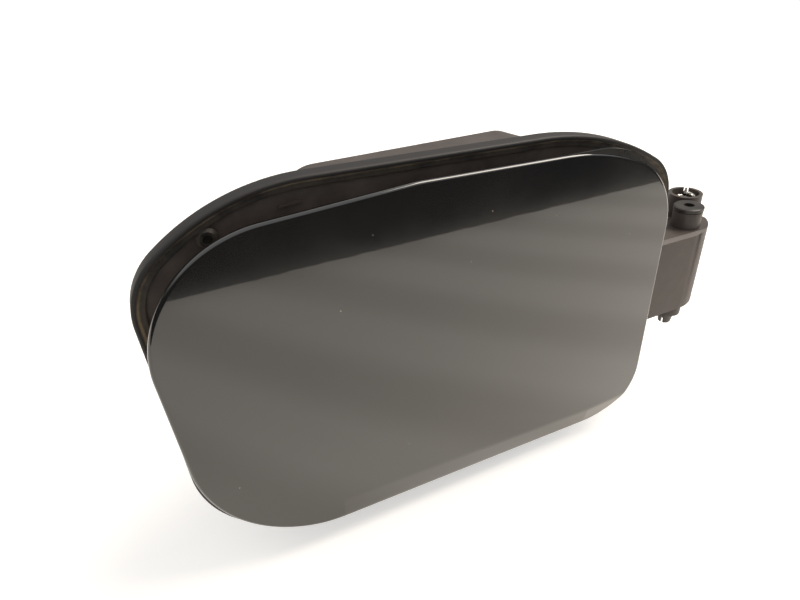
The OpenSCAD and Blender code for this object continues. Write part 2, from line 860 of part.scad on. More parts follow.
module filler_pocket() color("#3b3735")
    difference() {
        union() {
            difference() {
                union() {
                    slab(flange_y, flange_y + flange_t)
                        outline_fill(rim_edge, seal_edge + fit_gap);
                    edge_bead();
                    hinge_box();
                }
                slab(flange_y - cut, flange_y + flange_t + 4)
                    outline_fill(bowl_edge, bowl_wall / 2);
            }
            facing(flange_y)
                outline_sweep(bowl_edge)
                    bowl_wall_profile();
            slab(-bowl_wall, 0)
                outline_fill(bowl_edge, draft_at(pocket_d) + bowl_wall / 2);
            turned(0, -bowl_wall - 3, 0)
                translate([neck_hole_r + collar_lip + 1.5, 0])
                    square([2, 3 + lap]);
            lock_box();
            ribs();
            tabs();
            translate([drain_x, drain_y, drain_to])
                cylinder(h = drain_from - drain_to, r = drain_r);
            slab(flange_y - 0.6, flange_y + lap)
                translate([door_x - 49, rim_h / 2 - 9.5])
                    rotate(4)
                        square([7, 0.9], center = true);
        }
        hinge_box_cuts();
        lock_box_cuts();
        peg(0, 0, -bowl_wall - cut, cut, neck_hole_r);
        for (s = [-1, 1]) {
            peg(screw_x, s * screw_z, flange_y - cut, flange_y + flange_t + cut, screw_neck_r + fit_gap);
            peg(screw_x, s * screw_z, flange_y + flange_t, flange_y + flange_t + 4, screw_r + 2.6);
            peg(buffer_x, s * buffer_z, flange_y - cut, flange_y + flange_t + cut, buffer_stem_r);
        }
        translate([drain_x, drain_y, drain_to - cut])
            cylinder(h = drain_from - drain_to + 2 * cut + bowl_wall, r = drain_r - 1.6);
    }

// Rubber U round the flange's edge: a back leg, a stepped lip in front and a groove between
seal_edge = 1.5;
fit_gap = 0.05;

module rim_seal() color("#232120")
    difference() {
        union() {
            slab(flange_y - seal_lip, flange_y)
                outline_ring(rim_edge, 0, seal_w / 2);
            slab(flange_y - seal_lip / 2, flange_y + flange_t + seal_back)
                outline_ring(rim_edge, 0, seal_w);
        }
        slab(flange_y, flange_y + flange_t)
            outline_ring(rim_edge, seal_edge, seal_w + cut);
        translate([box_left - box_wall - 1.5, box_y - cut, box_bottom - 1])
            cube([box_side + arm_reach_back, pocket_d, box_h + 2]);
    }

// Rubber collar: a sleeve that grips the neck and two lips that hold the back wall
module neck_seal() color("#1f1e1d")
    turned(0, 0, 0)
        polygon([
            [neck_r, -collar_l / 2],
            [neck_r + collar_wall, -collar_l / 2],
            [neck_r + collar_wall, -bowl_wall - lip_t],
            [neck_hole_r + collar_lip, -bowl_wall - lip_t],
            [neck_hole_r + collar_lip, -bowl_wall],
            [neck_hole_r, -bowl_wall],
            [neck_hole_r, 0],
            [neck_hole_r + collar_lip, 0],
            [neck_hole_r + collar_lip, lip_t],
            [neck_r + collar_wall, lip_t],
            [neck_r + collar_wall, collar_l / 2],
            [neck_r, collar_l / 2]
        ]);

// Ring pressed over the collar's inner lip, inside the bowl
module neck_retainer() color("#2d2b2a")
    difference() {
        turned(0, -bowl_wall - lip_t - retainer_t, 0)
            polygon([
                [neck_r + collar_wall + 1.5, 0],
                [neck_hole_r + collar_lip, 0],
                [neck_hole_r + collar_lip + 1.5, 1],
                [neck_hole_r + collar_lip + 1.5, retainer_t + lip_t],
                [neck_hole_r + collar_lip, retainer_t + lip_t],
                [neck_hole_r + collar_lip, retainer_t],
                [neck_r + collar_wall + 1.5, retainer_t]
            ]);
        for (a = [45 : 90 : 315])
            rotate([0, a, 0])
                translate([neck_hole_r + 0.6, -bowl_wall - lip_t - retainer_t - cut, -3])
                    cube([2.4, retainer_t + 2 * cut, 6]);
    }

pin_top = box_top + upper_boss_h;
pin_bottom = box_bottom - lower_boss_h;

// Hollow pin with a flat head, a plain shank and a slotted, barbed tip
module hinge_pin() color("#2b2929")
    translate([pin_x, pin_y, 0])
        difference() {
            rotate_extrude()
                polygon([
                    [0, pin_bottom - pin_tip_l],
                    [pin_r - 0.7, pin_bottom - pin_tip_l],
                    [pin_r + 0.5, pin_bottom - 1],
                    [pin_r + 0.5, pin_bottom - 0.2],
                    [pin_r, pin_bottom - 0.2],
                    [pin_r, pin_top],
                    [pin_head_r - 0.5, pin_top],
                    [pin_head_r, pin_top + 0.4],
                    [pin_head_r, pin_top + pin_head_t - 0.4],
                    [pin_head_r - 0.5, pin_top + pin_head_t],
                    [0, pin_top + pin_head_t]
                ]);
            translate([0, 0, pin_top - 12])
                cylinder(h = 12 + pin_head_t + cut, r = pin_core_r);
            translate([0, 0, pin_bottom - pin_tip_l - cut])
                cylinder(h = pin_tip_l + 5, r = pin_core_r - 0.4);
            for (a = [20, 110])
                rotate([0, 0, a])
                    translate([-pin_head_r, -0.5, pin_bottom - pin_tip_l - cut])
                        cube([2 * pin_head_r, 1, pin_tip_l + cut + 4]);
        }

// A round wire swept along a path of points
function along(path, i) = let (n = len(path), a = path[max(i - 1, 0)], b = path[min(i + 1, n - 1)])
    (b - a) / norm(b - a);
function across(t) = let (up = abs(t[2]) < 0.9 ? [0, 0, 1] : [1, 0, 0], s = cross(t, up)) s / norm(s);
module wire(path, r, sides = 8) {
    rings = [for (i = [0 : len(path) - 1]) let (t = along(path, i), s = across(t), u = cross(s, t))
        for (k = [0 : sides - 1]) path[i] + r * (cos(360 * k / sides) * s + sin(360 * k / sides) * u)];
    last = (len(path) - 1) * sides;
    polyhedron(rings, concat(
        [[for (k = [0 : sides - 1]) k]],
        [for (i = [0 : len(path) - 2], k = [0 : sides - 1]) let (m = (k + 1) % sides)
            [i * sides + k, (i + 1) * sides + k, (i + 1) * sides + m, i * sides + m]],
        [[for (k = [sides - 1 : -1 : 0]) last + k]]
    ));
}

// Coil in the cup: its lower leg drops to the hub, and its upper leg hooks over the cup's rim
coil_from = cup_floor + wire_r + 0.3;
coil_pitch = (cup_top - 2.2 * wire_r - coil_from) / coil_turns;
module snap_spring() color("#c9c7c2")
    translate([cup_x, cup_y, 0]) {
        start = cup_angle + 180;
        sweep = 360 * coil_turns;
        finish = start + sweep;
        drop = drop_r * [cos(start), sin(start)];
        along_hub = [-sin(cup_angle), cos(cup_angle)];
        to_hub = cup_reach - hub_r - wire_r - 0.05;
        hub_side = to_hub * [cos(start), sin(start)];
        top = coil_from + coil_pitch * coil_turns;
        wire(concat(
            [
                [hub_side[0] - 3 * along_hub[0], hub_side[1] - 3 * along_hub[1], leg_z],
                [hub_side[0] + 0.2 * along_hub[0], hub_side[1] + 0.2 * along_hub[1], leg_z],
                [drop[0] + 1.2 * along_hub[0], drop[1] + 1.2 * along_hub[1], leg_z + 1],
                [drop[0], drop[1], leg_z + 3],
                [drop[0], drop[1], cup_floor - 1]
            ],
            [for (s = [0 : 1 / 20 : coil_turns]) let (a = start + 360 * s)
                [coil_r * cos(a), coil_r * sin(a), coil_from + coil_pitch * s]],
            [
                [0.2 * coil_r * cos(finish), 0.2 * coil_r * sin(finish), top + 0.1],
                [(cup_r + 1) * cos(top_leg_angle), (cup_r + 1) * sin(top_leg_angle), top + 0.3]
            ]
        ), wire_r);
    }

buffer_stem_r = 2.5;

// Rubber stop pressed into the flange: the closed door rests on its dome
module buffer(z) {
    top = flange_y - panel_y - rest_gap;
    turned(buffer_x, flange_y, z)
        polygon([
            [0, -top],
            [buffer_r - 2, -top],
            [buffer_r - 0.6, 1.2 - top],
            [buffer_r, 0],
            [buffer_stem_r, 0],
            [buffer_stem_r, flange_t],
            [buffer_stem_r + 1, flange_t],
            [buffer_stem_r - 0.6, flange_t + 3.5],
            [0, flange_t + 3.5]
        ]);
}

module upper_buffer() color("#1d1c1c")
    buffer(buffer_z);

module lower_buffer() color("#1d1c1c")
    buffer(-buffer_z);

// Flanged bush that guides the locking bolt through the lock box's side
module lock_bush() color("#c8c2b4")
    translate([catch_x - lock_half_w, eye_y, 0])
        rotate([0, -90, 0])
            rotate_extrude()
                polygon([
                    [bolt_r, -1],
                    [bolt_r + bush_wall, -1],
                    [bolt_r + bush_wall, lock_wall],
                    [bolt_r + bush_wall + 2, lock_wall],
                    [bolt_r + bush_wall + 2, lock_wall + 2],
                    [bolt_r + bush_wall, lock_wall + 2],
                    [bolt_r + bush_wall, lock_wall + 8],
                    [bolt_r, lock_wall + 8]
                ]);

// Screws that fix the flange's free end to the body: a shoulder fills the flange's hole
screw_neck_r = screw_r + 0.4;

module body_screws() color("#3c3a39")
    for (s = [-1, 1])
        difference() {
            turned(screw_x, flange_y, s * screw_z)
                polygon([
                    [0, -1.8],
                    [screw_head_r - 1, -1.8],
                    [screw_head_r, -0.8],
                    [screw_head_r, 0],
                    [screw_neck_r, 0],
                    [screw_neck_r, flange_t],
                    [screw_r, flange_t],
                    [screw_r, flange_t + screw_l - 2],
                    [screw_r - 1.2, flange_t + screw_l],
                    [0, flange_t + screw_l]
                ]);
            peg(screw_x, s * screw_z, flange_y - 1.8 - cut, flange_y - 0.6, 1.5);
        }

// Spring steel clips pushed over the tabs, each with a barb that catches the body
module body_clips() color("#8f9499")
    for (p = clip_places)
        translate([p[0] - tab_w / 2 + 2, 0, p[1]])
            rotate([90, 0, 90])
                linear_extrude(tab_w - 4)
                    clip_profile(sign(p[1]));

module clip_profile(side) {
    inner = tab_t / 2;
    outer = inner + clip_t;
    barb = inner + 1.6;
    start = flange_y + flange_t + 1;
    end = flange_y + flange_t + tab_l;
    polygon([
        [start, side * (inner + 0.2)],
        [start, side * (inner + 0.2 + clip_t)],
        [start + 3, side * (barb + clip_t)],
        [end - 1, side * outer],
        [end + clip_t, side * outer],
        [end + clip_t, -side * outer],
        [start, -side * outer],
        [start, -side * inner],
        [end, -side * inner],
        [end, side * inner],
        [end - 1.2, side * inner],
        [start + 3, side * barb]
    ]);
}

// Rubber valve stretched over the drain spigot, with a tapering outlet
module drain_valve() color("#1d1c1c")
    translate([drain_x, drain_y, 0])
        difference() {
            rotate_extrude()
                polygon([
                    [drain_r, drain_to + drain_l - 1],
                    [drain_r + valve_wall, drain_to + drain_l - 1],
                    [drain_r + valve_wall, drain_to - 1],
                    [2.2, drain_to - valve_l],
                    [1, drain_to - valve_l],
                    [drain_r - 0.6, drain_to],
                    [drain_r, drain_to]
                ]);
            translate([-drain_r, -0.4, drain_to - valve_l - cut])
                cube([2 * drain_r, 0.8, 3]);
        }

door_skin();
door_inner_panel();
flutter_pads();
hinge_arm();
arm_screws();
lock_catch();
catch_rivets();
cap_holder();
filler_pocket();
rim_seal();
neck_seal();
neck_retainer();
hinge_pin();
snap_spring();
upper_buffer();
lower_buffer();
lock_bush();
body_screws();
body_clips();
drain_valve();
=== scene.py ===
"""Car fuel door on its filler pocket, dressed for the photograph's view. Sizes are in millimetres."""
import math

import bmesh
import bpy
import numpy as np
from mathutils import Matrix, Vector


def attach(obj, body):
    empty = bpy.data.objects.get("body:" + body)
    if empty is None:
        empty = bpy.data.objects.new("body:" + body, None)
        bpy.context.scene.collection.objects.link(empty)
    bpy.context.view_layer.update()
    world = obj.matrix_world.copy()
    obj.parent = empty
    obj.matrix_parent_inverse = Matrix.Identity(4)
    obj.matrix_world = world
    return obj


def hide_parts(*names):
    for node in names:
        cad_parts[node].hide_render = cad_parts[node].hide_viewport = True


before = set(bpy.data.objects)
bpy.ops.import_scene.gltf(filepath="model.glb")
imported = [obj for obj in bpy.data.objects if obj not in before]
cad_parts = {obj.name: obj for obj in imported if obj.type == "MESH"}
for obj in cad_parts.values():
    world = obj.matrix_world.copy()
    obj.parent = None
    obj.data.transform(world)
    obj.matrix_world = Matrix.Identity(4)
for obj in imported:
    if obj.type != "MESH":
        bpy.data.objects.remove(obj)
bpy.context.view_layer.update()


# Door skin: a pressed steel sheet, creased above its lower edge and hemmed flat round the inner panel.
# It is sprayed gloss black and lacquered, so it mirrors the table in front of it; dust has settled on it.
MM = 0.001
DOOR_CIRCLES = [(64.4, -42.8, 27.0), (58.4, 26.78, 33.0), (34.302, -24.898, 90.0), (-18.0, 10.8, 56.0),
                (-66.0, 22.4, 42.0), (-54.5, -14.8, 52.0)]
FACE_Y = -58.0
HEM_DEPTH, HEM_WIDTH, SHEET = 2.4, 8.0, 0.8
EDGE_ROUND, BACK_ROUND, HEM_ROUND, HEM_BEND = 1.1, 0.5, 0.2, 0.2
MARGIN = 16.0
MIDDLE_FROM, MIDDLE_TO, CENTRE_X = -52.0, 40.0, -6.0
SKIN_STEPS, FINE, COARSE = 600, 0.3, 0.5
CREASE_AT, CREASE_SLOPE, CREASE_FOLD, CREASE_SOFT = (81.0, -59.1), 2.67, 14.0, 1.3


def outline(circles, count):
    """Points [x, z] and outward angles, evenly spaced round an outline of circles, anticlockwise.

    Each circle gives the arc between the common tangents to the one before and the one after: a tangent's
    outward angle is the centres' bearing less the angle whose cosine is the radii's difference over the
    centres' distance. Distance along arcs and tangents is then shared out evenly.
    """
    discs = np.array(circles)
    following = np.roll(discs, -1, axis=0)
    step = following - discs
    apart = np.hypot(step[:, 0], step[:, 1])
    turn = np.unwrap(np.arctan2(step[:, 1], step[:, 0]) - np.arccos((discs[:, 2] - following[:, 2]) / apart))
    angle = np.linspace(turn[-1] - 2 * math.pi, turn[-1], 40001)
    chosen = np.minimum(np.searchsorted(turn, angle), len(discs) - 1)
    point = discs[chosen, :2] + discs[chosen, 2:] * np.stack((np.cos(angle), np.sin(angle)), axis=1)
    run = np.concatenate(([0], np.cumsum(np.linalg.norm(np.diff(point, axis=0), axis=1))))
    even = np.linspace(0, run[-1], count, endpoint=False)
    spread = [np.interp(even, run, column) for column in (point[:, 0], point[:, 1], angle)]
    return np.stack(spread[:2], axis=1), spread[2]


def carried(circles, count, profile):
    """A grid of points: each profile row (inset, y) is the outline moved inwards by the inset, at depth y."""
    edge, angle = outline(circles, count)
    way = np.stack((np.cos(angle), np.sin(angle)), axis=1)
    inset, depth = np.array(profile).T
    plan = edge[:, None, :] - inset[None, :, None] * way[:, None, :]
    level = np.broadcast_to(depth, plan.shape[:2])
    return np.stack((plan[..., 0], level, plan[..., 1]), axis=2)


def arc(centre, radius, start, end, count):
    """Points of a circular arc in a profile, from one angle in degrees to another."""
    angle = np.radians(np.linspace(start, end, count))
    return [(centre[0] + radius * math.cos(a), centre[1] + radius * math.sin(a)) for a in angle]


def surface(name, grid, round_u=True, round_v=False, caps=()):
    """A mesh object from a grid of points in millimetres.

    Neighbouring points make four-sided faces. round_u or round_v joins the grid's last row or column to its
    first, and each cap (a column's index and a centre point) closes that column with a fan of triangles.
    """
    rows, columns = grid.shape[:2]
    u, v = np.arange(rows if round_u else rows - 1), np.arange(columns if round_v else columns - 1)
    u, v = [part.ravel() for part in np.meshgrid(u, v, indexing="ij")]
    u_next, v_next = (u + 1) % rows, (v + 1) % columns
    faces = np.stack((u * columns + v, u_next * columns + v, u_next * columns + v_next, u * columns + v_next),
                     axis=1).tolist()
    points = grid.reshape(-1, 3)
    for column, centre in caps:
        ring = np.arange(rows) * columns + column % columns
        fan = np.stack((ring, np.roll(ring, 1 if column == 0 else -1), np.full(rows, len(points))), axis=1)
        faces += fan.tolist()
        points = np.vstack((points, centre))
    mesh = bpy.data.meshes.new(name)
    mesh.from_pydata((points * MM).tolist(), [], faces)
    mesh.validate()
    along = mesh.uv_layers.new(name="grid")
    index = np.empty(len(mesh.loops), dtype=np.int32)
    mesh.loops.foreach_get("vertex_index", index)
    across = np.stack((index // columns / rows, index % columns / max(columns - 1, 1)), axis=1)
    along.data.foreach_set("uv", across.ravel().astype(np.float32))
    mesh.polygons.foreach_set("use_smooth", np.ones(len(mesh.polygons), dtype=bool))
    made = bpy.data.objects.new(name, mesh)
    bpy.context.scene.collection.objects.link(made)
    return made


def outwards(piece):
    """Turns every face of a closed piece outwards."""
    shell = bmesh.new()
    shell.from_mesh(piece.data)
    bmesh.ops.recalc_face_normals(shell, faces=shell.faces)
    shell.to_mesh(piece.data)
    shell.free()


def linear(code):
    """Linear colour from a six-digit sRGB hex code."""
    parts = [int(code[i:i + 2], 16) / 255 for i in (0, 2, 4)]
    return [p / 12.92 if p <= 0.04045 else ((p + 0.055) / 1.055) ** 2.4 for p in parts] + [1.0]


def finish_of(name, colour, **sockets):
    """A material with a Principled shader; the other words set its sockets, with _ for a space."""
    made = bpy.data.materials.new(name)
    made.use_nodes = True
    shader = made.node_tree.nodes["Principled BSDF"]
    shader.inputs["Base Color"].default_value = linear(colour)
    for socket, value in sockets.items():
        shader.inputs[socket.replace("_", " ")].default_value = value
    return made


def add(tree, kind, settings=None, links=None, to=None):
    """Adds one node: settings fill its properties or sockets, links feed its sockets, `to` lists where it goes.

    A link is (node, output), and a target is (output, node, socket).
    """
    made = tree.nodes.new("ShaderNode" + kind)
    for key, value in (settings or {}).items():
        if isinstance(key, int) or key in made.inputs:
            made.inputs[key].default_value = value
        else:
            setattr(made, key, value)
    for socket, (source, output) in (links or {}).items():
        tree.links.new(source.outputs[output], made.inputs[socket])
    for output, target, socket in to or []:
        tree.links.new(made.outputs[output], target.inputs[socket])
    return made


def stops(node, *pairs):
    """Sets a colour ramp's stops, each a position with a hex colour or a grey level."""
    ramp = node.color_ramp
    while len(ramp.elements) < len(pairs):
        ramp.elements.new(0.5)
    for element, (position, colour) in zip(ramp.elements, pairs):
        element.position = position
        element.color = linear(colour) if isinstance(colour, str) else (colour, colour, colour, 1.0)
    return node


def bend_back(points):
    """Leans the strip below the crease back: past a soft bend its depth grows with the distance below."""
    slope = math.radians(CREASE_SLOPE)
    below = ((CREASE_AT[0] - points[..., 0]) * math.sin(slope) * -1
             + (CREASE_AT[1] - points[..., 2]) * math.cos(slope))
    soft = np.clip(below + CREASE_SOFT, 0, 2 * CREASE_SOFT) ** 2 / (4 * CREASE_SOFT)
    past = np.clip(below - CREASE_SOFT, 0, None)
    points[..., 1] += (soft + past) * math.tan(math.radians(CREASE_FOLD))
    return points


def toward_middle(grid, column, shares):
    """More columns, each the given column drawn towards the door's long middle line by a share."""
    ring = grid[:, column]
    middle = np.stack((np.clip(ring[:, 0], MIDDLE_FROM, MIDDLE_TO), ring[:, 1], np.zeros(len(ring))), axis=1)
    return np.stack([ring + share * (middle - ring) for share in shares], axis=1)


back_y = FACE_Y + HEM_DEPTH
fold = SHEET + HEM_BEND
front_face = [(inset, FACE_Y) for inset in np.arange(MARGIN, EDGE_ROUND, -FINE)]
edge_profile = (front_face + arc((EDGE_ROUND, FACE_Y + EDGE_ROUND), EDGE_ROUND, 270, 180, 9)
                + arc((BACK_ROUND, back_y - BACK_ROUND), BACK_ROUND, 180, 90, 5)
                + [(inset, back_y) for inset in np.arange(2 * COARSE, HEM_WIDTH, COARSE)]
                + arc((HEM_WIDTH - HEM_ROUND, back_y - HEM_ROUND), HEM_ROUND, 90, 0, 3)
                + [(HEM_WIDTH, back_y - SHEET)]
                + [(inset, back_y - SHEET) for inset in np.arange(HEM_WIDTH - COARSE, fold, -COARSE)]
                + [(fold, back_y - SHEET), (fold, FACE_Y + SHEET)]
                + [(inset, FACE_Y + SHEET) for inset in np.arange(3 * COARSE, MARGIN + 0.2, COARSE)])
door_rings = carried(DOOR_CIRCLES, SKIN_STEPS, edge_profile)
inner_shares = np.linspace(0.9, 0.1, 9)
door_grid = np.concatenate((toward_middle(door_rings, 0, inner_shares), door_rings,
                            toward_middle(door_rings, -1, inner_shares[::-1])), axis=1)
door_grid = bend_back(door_grid)
skin = surface("door_shell", door_grid,
               caps=[(0, (CENTRE_X, FACE_Y, 0)), (-1, (CENTRE_X, FACE_Y + SHEET, 0))])
outwards(skin)

# Black base under lacquer: two smooth layers reflect about 9 % together, the base a little softly. Dust
# shows as a faint film and a few pale specks, and the spray's orange peel as a bump 5 mm across.
paint = finish_of("black_lacquered_steel", "0a0909", Roughness=0.12, IOR=1.5, Coat_Weight=1.0,
                  Coat_Roughness=0.02, Coat_IOR=1.5)
tree = paint.node_tree
paint_shader = tree.nodes["Principled BSDF"]
where = add(tree, "TexCoord")
haze = add(tree, "TexNoise", {"Scale": 1 / (38 * MM), "Detail": 3.0, "Roughness": 0.6},
           {"Vector": (where, "Object")})
grit = add(tree, "TexVoronoi", {"Scale": 1 / (7 * MM), "Randomness": 1.0}, {"Vector": (where, "Object")})
speck = stops(add(tree, "ValToRGB", None, {"Fac": (grit, "Distance")}), (0.0, 1.0), (0.032, 1.0), (0.045, 0.0))
grit_chance = add(tree, "TexNoise", {"Scale": 1 / (16 * MM), "Detail": 2.0},
                  {"Vector": (where, "Object")})
few = stops(add(tree, "ValToRGB", None, {"Fac": (grit_chance, "Fac")}), (0.56, 0.0), (0.6, 1.0))
seen = add(tree, "Math", {"operation": "MULTIPLY"}, {0: (speck, "Color"), 1: (few, "Color")})
film = stops(add(tree, "ValToRGB", None, {"Fac": (haze, "Fac")}), (0.35, "0a0909"), (0.7, "12100e"))
add(tree, "MixRGB", {"Color2": linear("8f8778")}, {"Fac": (seen, "Value"), "Color1": (film, "Color")},
    [("Color", paint_shader, "Base Color")])
dull = stops(add(tree, "ValToRGB", None, {"Fac": (haze, "Fac")}), (0.3, 0.10), (0.75, 0.17))
tree.links.new(dull.outputs["Color"], paint_shader.inputs["Roughness"])
peel = add(tree, "TexNoise", {"Scale": 1 / (5 * MM), "Detail": 1.0}, {"Vector": (where, "Object")})
add(tree, "Bump", {"Distance": 0.0035 * MM, "Strength": 1.0}, {"Height": (peel, "Fac")},
    [("Normal", paint_shader, "Normal"), ("Normal", paint_shader, "Coat Normal")])
skin.data.materials.append(paint)
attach(skin, "door")
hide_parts("door_skin")


# Inner panel: a drawn steel sheet with beads and lightening holes, held in the skin's hem.
# It has the body's colour in a thinner, duller coat; four mastic pads keep the skin from drumming on it.
def dress(names, material):
    """Gives frame nodes a finish in place of their plain one."""
    for name in names:
        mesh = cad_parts[name].data
        mesh.materials.clear()
        mesh.materials.append(material)


def grained(material, grain, height, tone=None, spread=None):
    """A moulded or cast surface: fine bumps of a real size, and a slower change of tone and gloss."""
    tree = material.node_tree
    shader = tree.nodes["Principled BSDF"]
    where = add(tree, "TexCoord")
    fine = add(tree, "TexNoise", {"Scale": 1 / (grain * MM), "Detail": 4.0, "Roughness": 0.6},
               {"Vector": (where, "Object")})
    add(tree, "Bump", {"Distance": height * MM, "Strength": 0.8}, {"Height": (fine, "Fac")},
        [("Normal", shader, "Normal")])
    if tone:
        slow = add(tree, "TexNoise", {"Scale": 1 / (spread * MM), "Detail": 5.0, "Roughness": 0.65},
                   {"Vector": (where, "Object")})
        colour = stops(add(tree, "ValToRGB", None, {"Fac": (slow, "Fac")}), (0.3, tone[0]), (0.72, tone[1]))
        tree.links.new(colour.outputs["Color"], shader.inputs["Base Color"])
        base = shader.inputs["Roughness"].default_value
        gloss = stops(add(tree, "ValToRGB", None, {"Fac": (slow, "Fac")}),
                      (0.3, base * 0.85), (0.7, base * 1.15))
        tree.links.new(gloss.outputs["Color"], shader.inputs["Roughness"])
    return material


primer = grained(finish_of("thin_black_coat", "141312", Roughness=0.28, IOR=1.5), 3.0, 0.01,
                 ("100f0e", "1d1b19"), 30.0)
dress(["door_inner_panel"], primer)
mastic = grained(finish_of("anti_flutter_mastic", "37352f", Roughness=0.85, IOR=1.5), 1.5, 0.12,
                 ("2d2b26", "45423a"), 8.0)
dress(["flutter_pads"], mastic)


# Hinge arm, catch and cap holder: black glass-filled nylon mouldings, satin, with glass showing as a faint
# mottle. The arm is screwed to the panel with zinc-plated pan heads, the catch riveted.
nylon = grained(finish_of("black_glass_filled_nylon", "1f1d1c", Roughness=0.42, IOR=1.53), 0.8, 0.02,
                ("1a1817", "2b2826"), 5.0)
dress(["hinge_arm", "lock_catch", "cap_holder", "neck_retainer"], nylon)
zinc = grained(finish_of("zinc_plated_steel", "b9bcbf", Metallic=1.0, Roughness=0.32), 0.5, 0.004,
               ("a9adb0", "c8cac9"), 3.0)
dress(["arm_screws"], zinc)
aluminium = grained(finish_of("aluminium_rivet", "c4c6c8", Metallic=1.0, Roughness=0.35), 0.5, 0.004,
                    ("b4b6b8", "d0d1d2"), 2.0)
dress(["catch_rivets"], aluminium)


# Filler pocket: one polypropylene moulding, flange, bowl, hinge box and channel. Years of road have
# bleached it to a dark purple-brown with grey bloom in random patches.
OLD_RIM = [(52.95, -27.5, 46.0), (52.95, 23.0, 46.0), (-73.55, 38.5, 35.0), (-66.55, -31.5, 42.0)]
RIM = [(54.0, -25.5, 46.0), (78.0, 34.124, 22.0), (30.297, -42.217, 112.0), (-53.238, -1.516, 74.0),
       (-83.0, 36.169, 26.0), (-63.5, -27.5, 44.0)]
RIM_CENTRE = np.array((-4.6, 0.4))
KEPT_SHARE, BLEND_SHARE = 0.86, 0.1
BOX_DROP, BOSS_DROP = 3.5, 1.0
BOX_START_X, BOX_CORNER_X, CHANNEL_X, CHANNEL_Y = 60.0, 134.1, 91.0, -43.0
BOX_FRONT, BOX_BACK = -50.5, -1.9
BOX_KEPT, BOX_FLOOR, BOX_UNDER, BOSS_UNDER, BOSS_END = -16.4, -19.5, -22.0, -30.0, -31.5


def radius_towards(circles, centre, angle):
    """Distance from a centre to an outline in each direction."""
    points, _ = outline(circles, 1440)
    away = points - centre
    bearing = np.arctan2(away[:, 1], away[:, 0])
    order = np.argsort(bearing)
    return np.interp(angle, bearing[order], np.linalg.norm(away, axis=1)[order], period=2 * math.pi)


def reshape_rim(points):
    """Draws the flange's margin to the photographed rim: towards the edge, a point's distance from the
    rim's centre goes over smoothly to that distance times the ratio of the two outlines in its direction."""
    away = points[:, [0, 2]] - RIM_CENTRE
    reach, bearing = np.linalg.norm(away, axis=1), np.arctan2(away[:, 1], away[:, 0])
    old, new = (radius_towards(rim, RIM_CENTRE, bearing) for rim in (OLD_RIM, RIM))
    near = np.clip((reach / old - KEPT_SHARE) / BLEND_SHARE, 0, 1)
    share = near * near * (3 - 2 * near) * (reach < old * 1.01)
    points[:, [0, 2]] = RIM_CENTRE + away * (1 + share * (new / old - 1))[:, None]
    return points


def lower_box(points):
    """Deepens the hinge box: its underside and lower corner go down together, and the boss below with them."""
    x, y, z = points.T
    inside = (x > BOX_START_X) & (y > BOX_FRONT) & (y < BOX_BACK) & (z < BOX_KEPT) & (z > BOSS_END)
    under = inside & ((z < BOX_FLOOR) | (x > BOX_CORNER_X)) & ((x > CHANNEL_X) | (y > CHANNEL_Y))
    z[under & (z > BOX_UNDER)] -= BOX_DROP
    z[inside & (z < BOSS_UNDER)] -= BOSS_DROP
    return points


def reshaped(name, node, *steps):
    """A copy of a frame node's mesh, its doubles merged, with each step moving all its points at once."""
    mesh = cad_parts[node].data.copy()
    shell = bmesh.new()
    shell.from_mesh(mesh)
    bmesh.ops.remove_doubles(shell, verts=shell.verts, dist=1e-7)
    shell.to_mesh(mesh)
    shell.free()
    points = np.empty(len(mesh.vertices) * 3)
    mesh.vertices.foreach_get("co", points)
    points = points.reshape(-1, 3) / MM
    for step in steps:
        points = step(points)
    mesh.vertices.foreach_set("co", (points * MM).ravel())
    mesh.materials.clear()
    made = bpy.data.objects.new(name, mesh)
    bpy.context.scene.collection.objects.link(made)
    return made


pocket = reshaped("pocket_moulding", "filler_pocket", reshape_rim, lower_box)
bleached = finish_of("weathered_polypropylene", "4a4340", Roughness=0.5, IOR=1.49)
grained(bleached, 0.5, 0.03, ("3d3633", "564e49"), 14.0)
pocket.data.materials.append(bleached)
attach(pocket, "pocket")
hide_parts("filler_pocket")


# Rim gasket: extruded rubber pressed over the flange's edge, a rounded lip in front and a step inside it.
# Sand and dust have gathered in a pale line where the lip meets the step.
LIP_Y, STEP_Y, BACK_Y = -48.5, -47.2, -41.9
FLANGE_FRONT, FLANGE_BACK = -46.0, -43.5
GASKET_W, GROOVE = 4.2, 1.5
GASKET_STEPS = 1080
GASKET_PROFILE = (arc((0.6, BACK_Y - 0.6), 0.6, 90, 180, 5) + arc((0.9, LIP_Y + 0.9), 0.9, 180, 270, 7)
                  + [(1.5, LIP_Y + 0.05), (1.9, LIP_Y + 0.3), (2.1, LIP_Y + 0.75), (2.3, STEP_Y + 0.05),
                     (2.6, STEP_Y + 0.12), (3.2, STEP_Y), (GASKET_W - 0.4, STEP_Y + 0.05)]
                  + arc((GASKET_W - 0.4, STEP_Y + 0.4), 0.4, 300, 360, 4)
                  + [(GASKET_W, FLANGE_FRONT), (GROOVE, FLANGE_FRONT), (GROOVE, FLANGE_BACK),
                     (GASKET_W, FLANGE_BACK), (GASKET_W, BACK_Y - 0.2), (GASKET_W - 0.2, BACK_Y)])
gasket_grid = carried(RIM, GASKET_STEPS, GASKET_PROFILE)
GAP_TOP, GAP_BOTTOM, GAP_SIDE = 15.0, -26.2, 80.0
rim_points, _ = outline(RIM, GASKET_STEPS)
in_gap = (rim_points[:, 0] > GAP_SIDE) & (rim_points[:, 1] < GAP_TOP) & (rim_points[:, 1] > GAP_BOTTOM)
after_gap = int(np.flatnonzero(in_gap)[-1]) + 1
gasket_grid = np.roll(gasket_grid, -after_gap, axis=0)[:GASKET_STEPS - int(in_gap.sum())]
gasket = surface("rim_gasket", gasket_grid, round_u=False, round_v=True)
gasket_rows, gasket_columns = gasket_grid.shape[:2]


